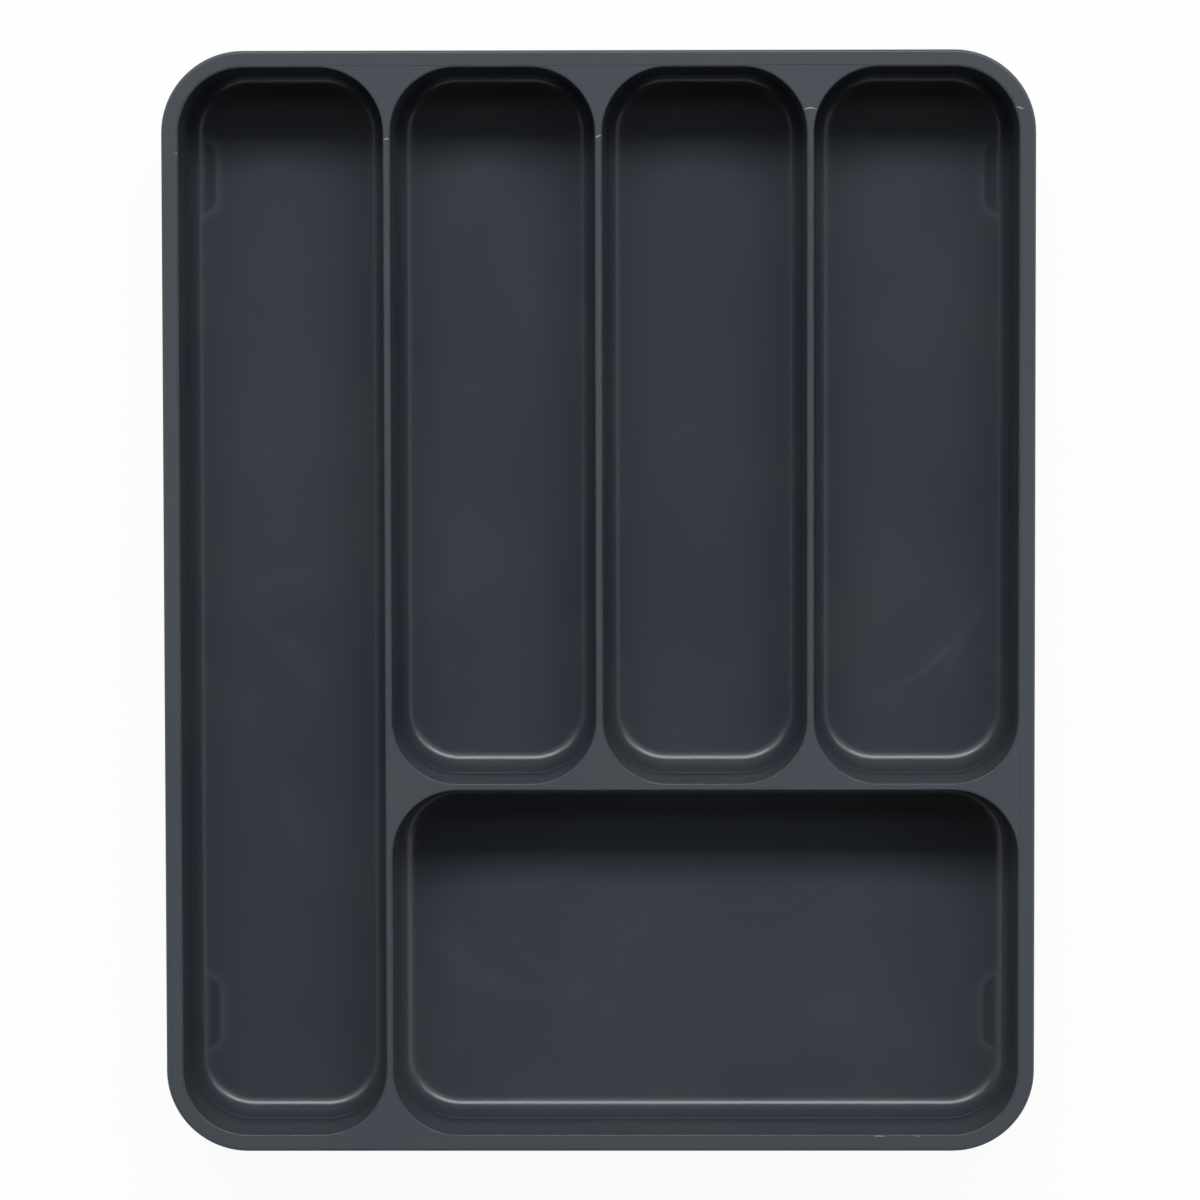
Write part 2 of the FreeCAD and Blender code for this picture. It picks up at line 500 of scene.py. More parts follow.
@dataclass
class TrayMoulding:
    """The one-piece moulding: five compartments, deck, rim with its lip, and the hollow underside."""

    low: Vector
    high: Vector
    pads: list[tuple[Vector, Vector]]
    columns: int = 4
    front_length: float = 124.3 * MM
    rim_width: float = 6.0 * MM
    divider: float = 2.5 * MM
    mouth_radius: float = 23.3 * MM
    field_margin: float = 0.6 * MM
    step_slope: float = 0.1 * MM
    rim_edge: float = 1.0 * MM
    lip_height: float = 10.0 * MM
    lip_wall: float = 2.0 * MM
    lip_round: float = 0.4 * MM
    step_support: float = 0.15 * MM
    edge_support: float = 0.2 * MM
    rim_steps: int = 8
    lip_steps: int = 4
    lip_rows: int = 5
    wall_rows: int = 8
    hollow_inset: float = 0.3 * MM
    tool_reach: float = 0.5 * MM
    rib_corner: float = 0.05 * MM
    boss_grid: float = 1.0 * MM
    deck_slack: float = 0.02 * MM
    sharp_angle: float = 38.0
    pad_inner_corner: float = 5.0 * MM
    pad_outer_corner: float = 1.5 * MM
    section: Section = field(init=False)
    field_plan: Plan = field(init=False)
    feet: list[FootPlace] = field(init=False)
    compartments: list[Compartment] = field(init=False)

    def __post_init__(self) -> None:
        """Works out the section, the plans and the places of the feet from the frame."""
        self.section = Section(rim_top=self.high.z, socket_bottom=self.low.z)
        sides = (self.low.x, self.high.x, self.low.y, self.high.y)
        outer = even_plan(*sides, self.mouth_radius + self.rim_width)
        self.field_plan = outer.grown(-self.rim_width)
        self.feet = [self._foot(*box) for box in self.pads]
        self.compartments = [Compartment(plan, self.section, self._feet_under(plan))
                             for plan in self._mouths()]

    def _foot(self, low: Vector, high: Vector) -> FootPlace:
        """The place of one foot, from the box of its pad."""
        side_x = 1 if low.x > 0 else -1
        inner, outer = self.pad_inner_corner, self.pad_outer_corner
        radii = (outer, outer, inner, inner) if side_x > 0 else (inner, inner, outer, outer)
        pad = Plan(low.x, high.x, low.y, high.y, radii, corner_steps=10, side_step=2 * MM)
        return FootPlace(side_x, pad)

    def _feet_under(self, plan: Plan) -> list[FootPlace]:
        """The feet that stand under one compartment."""
        return [foot for foot in self.feet if plan.distance(*foot.pad.middle) < 0]

    def _mouths(self) -> list[Plan]:
        """Plans of the mouths: one long, short ones beside it and a wide one in front of those."""
        x0, x1 = self.field_plan.x0, self.field_plan.x1
        y0, y1 = self.field_plan.y0, self.field_plan.y1
        column = (x1 - x0 - (self.columns - 1) * self.divider) / self.columns
        pitch = column + self.divider
        split = y0 + self.front_length
        sides = [(x0, x0 + column, y0, y1)]
        for index in range(1, self.columns):
            left = x0 + index * pitch
            sides.append((left, left + column, split + self.divider, y1))
        sides.append((x0 + pitch, x1, y0, split))
        return [even_plan(*side, self.mouth_radius) for side in sides]

    def rim_profile(self) -> Profile:
        """Section of the rim's flat top: the step up from the deck and the band."""
        top, edge = self.section.rim_top, self.rim_edge
        step = self.field_margin + self.step_slope
        flat = self.rim_width - edge
        band = [step, step + self.step_support, flat / 2, flat - self.edge_support, flat]
        return [(self.field_margin, self.section.field_top), *((offset, top) for offset in band)]

    def skirt_profile(self) -> Profile:
        """Section from the rim's rounded edge round the lip, up to the flange and down the wall."""
        cut, bead = self.section, self.lip_round
        bottom, roof = cut.rim_top - self.lip_height, cut.rim_top - cut.deck
        outer, inner = self.rim_width, self.rim_width - self.lip_wall
        centre = (outer - self.rim_edge, cut.rim_top - self.rim_edge)
        shoulder = arc(centre, self.rim_edge, 90, 0, self.rim_steps)
        face = [*shoulder, *line(shoulder[-1], (outer, bottom + bead), self.lip_rows)]
        foot = arc((outer - bead, bottom + bead), bead, 0, -90, self.lip_steps)
        foot += arc((inner + bead, bottom + bead), bead, -90, -180, self.lip_steps)
        wall_top = (cut.wall - cut.lean(roof - bead), roof - bead)
        roof_line = [(inner, roof - bead), (inner - bead / 3, roof), (cut.wall + bead / 3, roof), wall_top]
        edge = cut.outer_edge()
        wall = line(wall_top, edge[0], self.wall_rows)
        level = [(edge[-1][0] - cut.level_edge, cut.underside)]
        return face + foot + roof_line + wall + edge + level

    def build(self) -> Object:
        """Builds the moulding as one closed mesh, still without materials."""
        skin = Skin()
        mouths = [compartment.build(skin) for compartment in self.compartments]
        field_edge, rim_edge = skin.sweep(self.field_plan, self.rim_profile(), Finish.DECK)
        skin.fill([field_edge, *mouths], Finish.DECK, keep=self._on_deck)
        skirt = self.skirt_profile()
        skirt_rings = skin.sweep(self.field_plan, skirt[1:], Finish.OUTSIDE)
        skin.bridge(rim_edge, skirt_rings[0], Finish.OUTSIDE)
        skin.cap(skirt_rings[1], Finish.OUTSIDE)
        moulding = skin.to_object("tray_moulding")
        carve(moulding, self._hollows(), Carve.REMOVE)
        carve(moulding, self._bosses(), Carve.ADD)
        carve(moulding, self._sockets(), Carve.REMOVE)
        moulding.data.shade_smooth()
        moulding.data.set_sharp_from_angle(angle=math.radians(self.sharp_angle))
        return moulding

    def _on_deck(self, x: float, y: float) -> bool:
        """Whether a place on the deck lies outside every mouth."""
        return all(c.plan.distance(x, y) > c.mouth_offset() - self.deck_slack for c in self.compartments)

    def _closed(self, name: str, plans: Sequence[Plan], profile: Profile) -> Object:
        """A closed tool: a section carried round each plan, with flat ends."""
        skin = Skin()
        for plan in plans:
            for end in skin.sweep(plan, profile, Finish.OUTSIDE):
                skin.cap(end, Finish.OUTSIDE)
        return skin.to_object(name)

    def _hollows(self) -> Object:
        """The hollows between the compartments, open from below and closed by the deck."""
        cut = self.section
        roof = cut.field_top - cut.deck
        edge = cut.hollow_edge(cut.floor_top, cut.floor_fillet, -self.hollow_inset)
        below = (edge[-1][0], cut.underside - self.tool_reach)
        top = (-cut.lean(roof) - self.hollow_inset, roof)
        block = self._closed("hollows", [self.field_plan], [top, *edge, below])
        outside = cut.outer_edge()
        brim = (cut.wall, cut.field_top)
        deep = (outside[-1][0], cut.underside - 2 * self.tool_reach)
        for compartment in self.compartments:
            carve(block, self._closed("pan", [compartment.plan], [brim, *outside, deep]), Carve.REMOVE)
        for rib in self._ribs():
            carve(block, rib, Carve.REMOVE)
        return block

    def _ribs(self) -> list[Object]:
        """Solid cores of the dividers."""
        long_one, wide_one = self.compartments[0].plan, self.compartments[-1].plan
        shorts = [compartment.plan for compartment in self.compartments[1:-1]]
        edges = [(long_one.x1, long_one.x1 + self.divider, long_one.y0, long_one.y1)]
        for left, right in zip(shorts, shorts[1:]):
            edges.append((left.x1, right.x0, left.y0, left.y1))
        edges.append((wide_one.x0, wide_one.x1, wide_one.y1, wide_one.y1 + self.divider))
        bottom = self.section.floor_top + self.section.floor_fillet / 2
        ends = [(0.0, bottom), (0.0, self.section.field_top)]
        radii = (self.rib_corner,) * 4
        plans = [Plan(*edge, radii, corner_steps=1, side_step=1.0) for edge in edges]
        return [self._closed("rib", [plan], ends) for plan in plans]

    def _bosses(self) -> Object:
        """The bosses round the sockets, with their tops hidden inside the floor and its rounded edge."""
        skin = Skin()
        for foot in self.feet:
            self._boss(skin, foot.boss)
        return skin.to_object("bosses")

    def _boss(self, skin: Skin, plan: Plan) -> None:
        """Adds one boss with this outline to a mesh."""
        lower = skin.ring(plan, (0.0, self.section.socket_bottom))
        upper = skin.ring(plan, (0.0, self.section.floor_top))
        skin.bridge(lower, upper, Finish.OUTSIDE)
        skin.cap(lower, Finish.OUTSIDE)
        inner = [Vector((x, y, self.section.floor_top)) for x, y in plan.grid(self.boss_grid, 0.0)]
        count = len(skin.mesh.verts)
        skin.fill([upper], Finish.OUTSIDE, inner)
        skin.mesh.verts.ensure_lookup_table()
        for vert in upper + skin.mesh.verts[count:]:
            vert.co.z = self._mid_floor(vert.co.x)

    def _mid_floor(self, x: float) -> float:
        """Height of the middle of the floor's thickness, up into its rounded edge by the side wall."""
        cut = self.section
        radius = cut.floor_fillet + cut.floor / 2
        middle = cut.wall / 2 - cut.lean(cut.floor_top + cut.floor_fillet) - radius
        reach = abs(x) - self.field_plan.x1 - middle
        if reach <= 0:
            return cut.floor_top - cut.floor / 2
        return cut.floor_top + cut.floor_fillet - math.sqrt(max(radius ** 2 - reach ** 2, 0.0))

    def _sockets(self) -> Object:
        """The recesses that hold the pads."""
        cut = self.section
        ends = [(0.0, cut.socket_bottom - self.tool_reach), (0.0, cut.socket_bottom + cut.socket_depth)]
        return self._closed("sockets", [foot.socket for foot in self.feet], ends)

    def dress(self, moulding: Object, finishes: dict[Finish, Material]) -> None:
        """Gives the moulding a material for each kind of surface and puts it in the frame."""
        for finish, plastic in finishes.items():
            moulding.data.materials[finish.value] = plastic
        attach(moulding, BODY)
        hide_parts("tray_body")


@dataclass
class FootPads:
    """The soft pads under the tray, shown as they are in the frame."""

    names: list[str]

    def boxes(self) -> list[tuple[Vector, Vector]]:
        """The box of each pad."""
        return [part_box(name) for name in self.names]

    def dress(self, rubber: Material) -> None:
        """Gives the pads their finish."""
        for name in self.names:
            wear(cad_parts[name], rubber)


@dataclass(frozen=True)
class WitnessMark:
    """A pale line left by the mould: a low ridge along a path, in millimetres of the tray's plan."""

    name: str
    path: tuple[Point, ...]
    lift: float = 0.0
    width: float = 0.55 * MM
    height: float = 0.06 * MM
    sunk: float = 0.03 * MM
    shoulder: Point = (0.55, 0.75)
    taper: float = 0.35

    def build(self, level: float) -> Object:
        """Makes the ridge as a closed mesh; level is the height of the surface that it lies on."""
        skin = Skin()
        points = [Vector((x * MM, y * MM, level + self.lift)) for x, y in self.path]
        rings = [self._ring(skin, points, index) for index in range(len(points))]
        for first, second in zip(rings, rings[1:]):
            skin.bridge(first, second, Finish.DECK)
        for end in (rings[0], rings[-1]):
            skin.cap(end, Finish.DECK)
        made = skin.to_object(self.name)
        made.data.shade_smooth()
        return made

    def _ring(self, skin: Skin, points: Sequence[Vector], index: int) -> list[BMVert]:
        """One cut across the ridge, thinner towards its ends."""
        along = (points[min(index + 1, len(points) - 1)] - points[max(index - 1, 0)]).normalized()
        across = Vector((-along.y, along.x, 0.0)) * self.width / 2
        share = self.taper if index in (0, len(points) - 1) else 1.0
        side, rise = self.shoulder[0] * share, self.shoulder[1] * self.height * share
        ridge = ((-side, rise), (0.0, self.height * share), (side, rise))
        cut = ((-share, -self.sunk), *ridge, (share, -self.sunk))
        places = [points[index] + across * out + Vector((0.0, 0.0, up)) for out, up in cut]
        return [skin.mesh.verts.new(place) for place in places]


@dataclass
class WitnessMarks:
    """The pale lines and nicks on the dividers and the rim."""

    field_top: float
    band: float
    nick_width: float = 0.4 * MM
    marks: tuple[WitnessMark, ...] = field(init=False)

    def __post_init__(self) -> None:
        """Lists the marks where they lie on the tray."""
        self.marks = (
            WitnessMark("mark_divider_left",
                        ((-76.7, 165.9), (-76.0, 166.0), (-75.2, 166.1), (-74.5, 166.1))),
            WitnessMark("mark_divider_middle",
                        ((-1.1, 166.4), (-0.4, 166.8), (0.5, 167.1), (1.1, 167.1))),
            WitnessMark("mark_divider_right",
                        ((73.2, 176.2), (74.6, 176.7), (75.8, 176.9), (78.1, 176.4))),
            WitnessMark("mark_rim_right",
                        ((148.7, 176.9), (149.8, 176.9), (150.6, 176.5), (151.4, 176.6)), self.band),
            WitnessMark("nick_rim_left",
                        ((-150.9, 161.2), (-150.6, 161.2), (-150.3, 161.1)), self.band),
            WitnessMark("nick_rim_front",
                        ((98.3, -192.15), (99.6, -192.1), (101.2, -192.1), (102.4, -192.15)),
                        self.band / 2, self.nick_width),
            WitnessMark("nick_rim_front_short",
                        ((113.6, -192.15), (114.2, -192.1), (114.8, -192.15)),
                        self.band / 2, self.nick_width),
        )

    def build(self) -> list[Object]:
        """Makes every mark."""
        return [mark.build(self.field_top) for mark in self.marks]

    def dress(self, pieces: Sequence[Object], pale: Material) -> None:
        """Gives the marks the pale finish of stretched plastic and puts them in the frame."""
        for piece in pieces:
            wear(piece, pale)
            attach(piece, BODY)


@dataclass(frozen=True)
class Cloud:
    """Cloudy noise: how fine it is, how much detail it has and how far it is stirred."""

    scale: float
    detail: float
    stir: float


class NodeBook:
    """Writes nodes into a tree, one call for each."""

    def __init__(self, tree: NodeTree) -> None:
        """Keeps the tree that is written to."""
        self.tree = tree

    def add(self, kind: str, values: dict[str | int, object] | None = None, **settings: object) -> Node:
        """Adds a node.

        Args:
            kind: Blender's name of the node type.
            values: Constants or sockets for its inputs, by name or number.
            settings: Properties of the node itself.

        Returns:
            The new node.
        """
        node = self.tree.nodes.new(kind)
        for key, value in settings.items():
            setattr(node, key, value)
        for key, value in (values or {}).items():
            if isinstance(value, NodeSocket):
                self.tree.links.new(value, node.inputs[key])
            else:
                node.inputs[key].default_value = value
        return node

    def math(self, operation: str, first: object, second: object = 0.0, clamp: bool = False) -> NodeSocket:
        """A sum, difference or comparison of two values."""
        node = self.add("ShaderNodeMath", {0: first, 1: second}, operation=operation, use_clamp=clamp)
        return node.outputs[0]

    def times(self, first: object, second: object) -> NodeSocket:
        """The product of two values."""
        return self.math("MULTIPLY", first, second)

    def vector(self, operation: str, first: object, second: object = (0.0, 0.0, 0.0)) -> NodeSocket:
        """A sum, difference or the like of two vectors."""
        return self.add("ShaderNodeVectorMath", {0: first, 1: second}, operation=operation).outputs[0]

    def length(self, vector: NodeSocket) -> NodeSocket:
        """The length of a vector."""
        return self.add("ShaderNodeVectorMath", {0: vector}, operation="LENGTH").outputs["Value"]

    def axis(self, vector: NodeSocket, name: str) -> NodeSocket:
        """One part of a vector: X, Y or Z."""
        return self.add("ShaderNodeSeparateXYZ", {0: vector}).outputs[name]

    def span(self, value: NodeSocket, low: float, high: float, to_low: float = 0.0,
             to_high: float = 1.0) -> NodeSocket:
        """Maps one range of a value onto another, held at both ends."""
        values = {"Value": value, "From Min": low, "From Max": high, "To Min": to_low, "To Max": to_high}
        return self.add("ShaderNodeMapRange", values).outputs["Result"]

    def cloud(self, place: NodeSocket, kind: Cloud) -> NodeSocket:
        """Cloudy noise of one kind."""
        values = {"Vector": place, "Scale": kind.scale, "Detail": kind.detail, "Distortion": kind.stir}
        return self.add("ShaderNodeTexNoise", values).outputs[0]

    def blend(self, share: object, first: object, second: object) -> NodeSocket:
        """Mixes two colours."""
        return self.add("ShaderNodeMix", {0: share, 6: first, 7: second}, data_type="RGBA").outputs[2]


class GroupBook(NodeBook):
    """Writes a shader node group with named inputs and outputs."""

    def __init__(self, name: str, vectors: Sequence[str], values: Sequence[str],
                 outputs: Sequence[str]) -> None:
        """Starts the group.

        Args:
            name: Name of the group.
            vectors: Names of the inputs that take vectors.
            values: Names of the inputs that take values.
            outputs: Names of the outputs, all values.
        """
        super().__init__(bpy.data.node_groups.new(name, "ShaderNodeTree"))
        sockets = [("INPUT", "NodeSocketVector", vectors), ("INPUT", "NodeSocketFloat", values),
                   ("OUTPUT", "NodeSocketFloat", outputs)]
        for way, kind, names in sockets:
            for socket in names:
                self.tree.interface.new_socket(socket, in_out=way, socket_type=kind)
        self.taken = self.tree.nodes.new("NodeGroupInput").outputs
        self.given = self.tree.nodes.new("NodeGroupOutput").inputs

    def give(self, name: str, value: NodeSocket) -> None:
        """Leads a value to one of the outputs."""
        self.tree.links.new(value, self.given[name])


@dataclass
class SurfaceEffects:
    """The effects that the finishes share, each built once as a node group.

    The ranges say between which values of a noise its effect goes from hidden to full.
    """

    grain_detail: float = 2.5
    grain_roughness: float = 0.6
    flow: Cloud = Cloud(16.0, 3.0, 0.6)
    flow_range: Point = (0.3, 0.7)
    patches: Cloud = Cloud(11.0, 2.0, 1.2)
    wiped_range: Point = (0.52, 0.72)
    scratched_range: Point = (0.48, 0.62)
    wear: Cloud = Cloud(60.0, 3.0, 2.0)
    worn_range: Point = (0.35, 0.65)
    least_worn: float = 0.3
    hairs: Cloud = Cloud(6.0, 1.0, 0.8)
    hair_range: Point = (0.70, 0.76)
    hair_turn: float = 0.6
    hair_scale: tuple[float, float, float] = (9.0, 260.0, 9.0)
    dust_cells: float = 160.0
    dust_free: float = 0.975
    dust_edge: Point = (0.02, 0.04)
    stroke_fade: float = 8.0 * MM
    halo_edge: Point = (-0.5 * MM, 0.9 * MM)
    halo_rise: Point = (0.3 * MM, 1.2 * MM)
    grain: NodeTree = field(init=False)
    handling: NodeTree = field(init=False)
    scuff: NodeTree = field(init=False)
    halo: NodeTree = field(init=False)

    def __post_init__(self) -> None:
        """Builds the groups."""
        self.grain = self._grain()
        self.handling = self._handling()
        self.scuff = self._scuff()
        self.halo = self._halo()

    def _grain(self) -> NodeTree:
        """Fine texture of a spark-eroded mould, and slow drifts of tone where the melt flowed."""
        book = GroupBook("Mould texture", ("Place",), ("Grain Size",), ("Height", "Tone"))
        place = book.taken["Place"]
        scale = book.math("DIVIDE", 1.0, book.taken["Grain Size"])
        fine = {"Vector": place, "Scale": scale, "Detail": self.grain_detail,
                "Roughness": self.grain_roughness}
        book.give("Height", book.add("ShaderNodeTexNoise", fine).outputs[0])
        book.give("Tone", book.span(book.cloud(place, self.flow), *self.flow_range))
        return book.tree

    def _handling(self) -> NodeTree:
        """Marks of use: wiped smears, fine scratches, specks of dust and how worn a place is."""
        book = GroupBook("Handling", ("Place",), (), ("Smear", "Scratch", "Dust", "Worn"))
        place = book.taken["Place"]
        patch = book.cloud(place, self.patches)
        worn = book.span(book.cloud(place, self.wear), *self.worn_range, self.least_worn)
        book.give("Worn", worn)
        book.give("Smear", book.times(book.span(patch, *self.wiped_range), worn))
        stretch = {"Vector": place, "Rotation": (0.0, 0.0, self.hair_turn), "Scale": self.hair_scale}
        hair = book.cloud(book.add("ShaderNodeMapping", stretch).outputs[0], self.hairs)
        drawn = book.span(hair, *self.hair_range)
        book.give("Scratch", book.times(drawn, book.span(patch, *self.scratched_range)))
        grid = {"Vector": place, "Scale": self.dust_cells}
        cells = book.add("ShaderNodeTexVoronoi", grid, feature="F1").outputs
        chance = book.add("ShaderNodeSeparateColor", {0: cells["Color"]}).outputs[0]
        speck = book.span(cells["Distance"], *self.dust_edge, 1.0, 0.0)
        book.give("Dust", book.times(book.math("GREATER_THAN", chance, self.dust_free), speck))
        return book.tree

    def _scuff(self) -> NodeTree:
        """A wiped or rubbed stroke: a band along part of a circle, broken up a little."""
        book = GroupBook("Scuff", ("Place", "Centre", "Low", "High"), ("Worn", "Radius", "Width"), ("Mask",))
        place, taken = book.taken["Place"], book.taken
        flat = book.vector("MULTIPLY", book.vector("SUBTRACT", place, taken["Centre"]), (1.0, 1.0, 0.0))
        miss = book.math("ABSOLUTE", book.math("SUBTRACT", book.length(flat), taken["Radius"]))
        band = book.math("SUBTRACT", 1.0, book.math("DIVIDE", miss, taken["Width"]), clamp=True)
        past_low = book.vector("SUBTRACT", place, taken["Low"])
        past_high = book.vector("SUBTRACT", taken["High"], place)
        room = book.vector("MINIMUM", past_low, past_high)
        ends = [book.span(book.axis(room, name), 0.0, self.stroke_fade) for name in "XY"]
        book.give("Mask", book.times(book.times(band, taken["Worn"]), book.times(*ends)))
        return book.tree

    def _halo(self) -> NodeTree:
        """Paler colour round a rounded mark on the floor, fading outwards, and a mask of the mark itself for
        painted shade; it is mirrored in X and Y.
        """
        vectors, values = ("Place", "Middle", "Half"), ("Corner", "Spread", "Level")
        book = GroupBook("Sink halo", vectors, values, ("Halo", "Inside"))
        place, taken = book.taken["Place"], book.taken
        folded = book.vector("ABSOLUTE", place)
        away = book.vector("ABSOLUTE", book.vector("SUBTRACT", folded, taken["Middle"]))
        past = book.vector("SUBTRACT", away, taken["Half"])
        beyond = book.length(book.vector("MAXIMUM", past))
        nearest = book.math("MAXIMUM", book.axis(past, "X"), book.axis(past, "Y"))
        reach = book.math("ADD", beyond, book.math("MINIMUM", nearest, 0.0))
        gap = book.math("SUBTRACT", reach, taken["Corner"])
        outside = book.span(gap, *self.halo_edge)
        fade = book.math("SUBTRACT", 1.0, book.math("DIVIDE", gap, taken["Spread"]), clamp=True)
        rise = book.math("SUBTRACT", book.axis(place, "Z"), taken["Level"])
        low = book.span(rise, *self.halo_rise, 1.0, 0.0)
        book.give("Halo", book.times(book.times(outside, book.times(fade, fade)), low))
        book.give("Inside", book.times(book.math("SUBTRACT", 1.0, outside), low))
        return book.tree


def opaque(colour: Colour, gain: float = 1.0, lift: float = 0.0) -> Opaque:
    """A colour for a node's input, made lighter or darker on the way."""
    return (*(part * gain + lift for part in colour), 1.0)


def blank_material(name: str) -> tuple[Material, NodeBook]:
    """A material without nodes, and the book that writes them."""
    made = bpy.data.materials.new(name)
    made.use_nodes = True
    made.node_tree.nodes.clear()
    return made, NodeBook(made.node_tree)


@dataclass(frozen=True)
class Coat:
    """A material in the making: what writes its nodes, the shared effects and the place on the tray."""

    book: NodeBook
    effects: SurfaceEffects
    place: NodeSocket

    def effect(self, group: NodeTree, values: dict[str, object]) -> NodeOutputs:
        """Adds one of the shared effects; values are its inputs apart from the place."""
        inputs = {"Place": self.place, **values}
        return self.book.add("ShaderNodeGroup", inputs, node_tree=group).outputs


@dataclass(frozen=True)
class Scuff:
    """One stroke on a floor, through three places in millimetres of the tray's plan."""

    start: Point
    middle: Point
    end: Point
    width: float
    strength: float

    def circle(self) -> tuple[Point, float]:
        """Centre and radius of the circle through the three places, in metres."""
        (ax, ay), (bx, by), (cx, cy) = ((x * MM, y * MM) for x, y in (self.start, self.middle, self.end))
        twice = 2 * (ax * (by - cy) + bx * (cy - ay) + cx * (ay - by))
        a, b, c = ax * ax + ay * ay, bx * bx + by * by, cx * cx + cy * cy
        x = (a * (by - cy) + b * (cy - ay) + c * (ay - by)) / twice
        y = (a * (cx - bx) + b * (ax - cx) + c * (bx - ax)) / twice
        return (x, y), math.hypot(ax - x, ay - y)

    def mask(self, coat: Coat, worn: NodeSocket) -> NodeSocket:
        """Adds the stroke to a material.

        Args:
            coat: The material.
            worn: How far the surface is worn at each place.

        Returns:
            How strongly the stroke shows.
        """
        centre, radius = self.circle()
        (left, right), (front, back) = (sorted((a * MM, b * MM)) for a, b in zip(self.start, self.end))
        room = coat.effects.stroke_fade + self.width
        values = {"Worn": worn, "Centre": (*centre, 0.0), "Radius": radius, "Width": self.width,
                  "Low": (left - room, front, 0.0), "High": (right + room, back, 0.0)}
        stroke = coat.effect(coat.effects.scuff, values)
        return coat.book.times(stroke["Mask"], self.strength)


FLOOR_SCUFFS = (
    Scuff((85.4, -38.5), (129.6, -17.2), (143.2, 5.6), 1.5 * MM, 0.32),
    Scuff((113.7, -50.3), (131.4, -18.3), (139.5, -3.5), 1.3 * MM, 0.22),
    Scuff((101.0, -46.0), (125.0, -21.0), (140.5, 3.0), 1.0 * MM, 0.16),
    Scuff((92.0, -42.0), (121.0, -24.0), (137.0, -2.0), 3.0 * MM, 0.18),
    Scuff((-56.0, -118.0), (-44.0, -141.0), (-18.0, -150.0), 9.0 * MM, 0.35),
    Scuff((-36.0, -113.0), (-28.0, -131.0), (-8.0, -143.0), 4.0 * MM, 0.2),
    Scuff((-121.0, -10.0), (-110.0, -22.0), (-100.0, -38.0), 6.0 * MM, 0.25),
    Scuff((-116.0, -66.0), (-112.0, -85.0), (-107.0, -100.0), 7.0 * MM, 0.25),
    Scuff((-64.0, 4.0), (-58.0, -18.0), (-52.0, -36.0), 3.0 * MM, 0.15),
    Scuff((-46.0, 0.0), (-39.0, -20.0), (-30.0, -38.0), 2.0 * MM, 0.12),
)


@dataclass(frozen=True)
class SinkHalo:
    """Colour of the floors round the marks over the four feet: paler round each mark, and darker inside it as
    painted shade in the sunk mark.
    """

    mark: Plan
    floor: float
    spread: float = 5.5 * MM
    paler: float = 0.85
    # How strongly the painted shade darkens the inside of each mark
    inside_shade: float = 0.3

    def tint(self, coat: Coat, plain: NodeSocket, pale: Opaque, deep: Opaque) -> NodeSocket:
        """Adds the spots to a material.

        Args:
            coat: The material.
            plain: Colour without the spots.
            pale: Colour of the halo at its strongest.
            deep: Colour of the painted shade inside the spot at its strongest.

        Returns:
            The colour with the spots.
        """
        mark, corner = self.mark, self.mark.radii[0]
        middle = (*(abs(part) for part in mark.middle), 0.0)
        # The third size is taller than the tray, so that height plays no part in the distance
        half = ((mark.x1 - mark.x0) / 2 - corner, (mark.y1 - mark.y0) / 2 - corner, 1.0)
        values = {"Middle": middle, "Half": half, "Corner": corner, "Spread": self.spread,
                  "Level": self.floor}
        spot, book = coat.effect(coat.effects.halo, values), coat.book
        haloed = book.blend(book.times(spot["Halo"], self.paler), plain, pale)
        # Painted shade: darker inside the sunk mark over each foot
        return book.blend(book.times(spot["Inside"], self.inside_shade), haloed, deep)


@dataclass(frozen=True)
class MouldedPlastic:
    """Matte moulded plastic with a fine texture, drifts of tone and marks of use."""

    name: str
    cool: Colour
    warm: Colour
    roughness: float
    rough_spread: float = 0.02
    rough_smear: float = 0.05
    grain_size: float = 0.5 * MM
    grain_depth: float = 0.004 * MM
    drift: float = 0.05
    smear: float = 0.12
    pale_gain: float = 1.6
    pale_lift: float = 0.004
    # Painted shade inside the marks over the feet: gain on the cool colour
    shade_gain: float = 0.5
    dust: float = 0.4
    dust_colour: Opaque = (0.3, 0.31, 0.33, 1.0)
    specular: float = 0.5
    scuffs: tuple[Scuff, ...] = ()
    halo: SinkHalo | None = None

    def material(self, effects: SurfaceEffects) -> Material:
        """Builds the material with the shared effects."""
        made, book = blank_material(self.name)
        coat = Coat(book, effects, book.add("ShaderNodeTexCoord").outputs["Object"])
        grain = coat.effect(effects.grain, {"Grain Size": self.grain_size})
        marks = coat.effect(effects.handling, {})
        spread = (self.roughness - self.rough_spread, self.roughness + self.rough_spread)
        rough = book.span(grain["Tone"], 0.0, 1.0, *spread)
        rough = book.math("ADD", rough, book.times(marks["Smear"], self.rough_smear))
        bump = book.add("ShaderNodeBump", {"Height": grain["Height"], "Distance": self.grain_depth})
        values = {"Base Color": self._tint(coat, grain["Tone"], marks), "Roughness": rough,
                  "Normal": bump.outputs[0], "Specular IOR Level": self.specular}
        shader = book.add("ShaderNodeBsdfPrincipled", values)
        book.add("ShaderNodeOutputMaterial", {"Surface": shader.outputs[0]})
        return made

    def _tint(self, coat: Coat, tone: NodeSocket, marks: NodeOutputs) -> NodeSocket:
        """The colour: slow drifts of hue and tone with smears, strokes, paler rings round the marks over the
        feet with painted shade inside them, and dust on top.

        Args:
            coat: The material.
            tone: The slow drift of the plastic.
            marks: The marks of use.

        Returns:
            The finished colour.
        """
        book = coat.book
        pale = opaque(self.warm, self.pale_gain, self.pale_lift)
        tint = book.blend(tone, opaque(self.cool, 1 - self.drift), opaque(self.warm, 1 + self.drift))
        for mark in ("Smear", "Scratch"):
            tint = book.blend(book.times(marks[mark], self.smear), tint, pale)
        for scuff in self.scuffs:
            tint = book.blend(scuff.mask(coat, marks["Worn"]), tint, pale)
        if self.halo:
            tint = self.halo.tint(coat, tint, pale, opaque(self.cool, self.shade_gain))
        return book.blend(book.times(marks["Dust"], self.dust), tint, self.dust_colour)


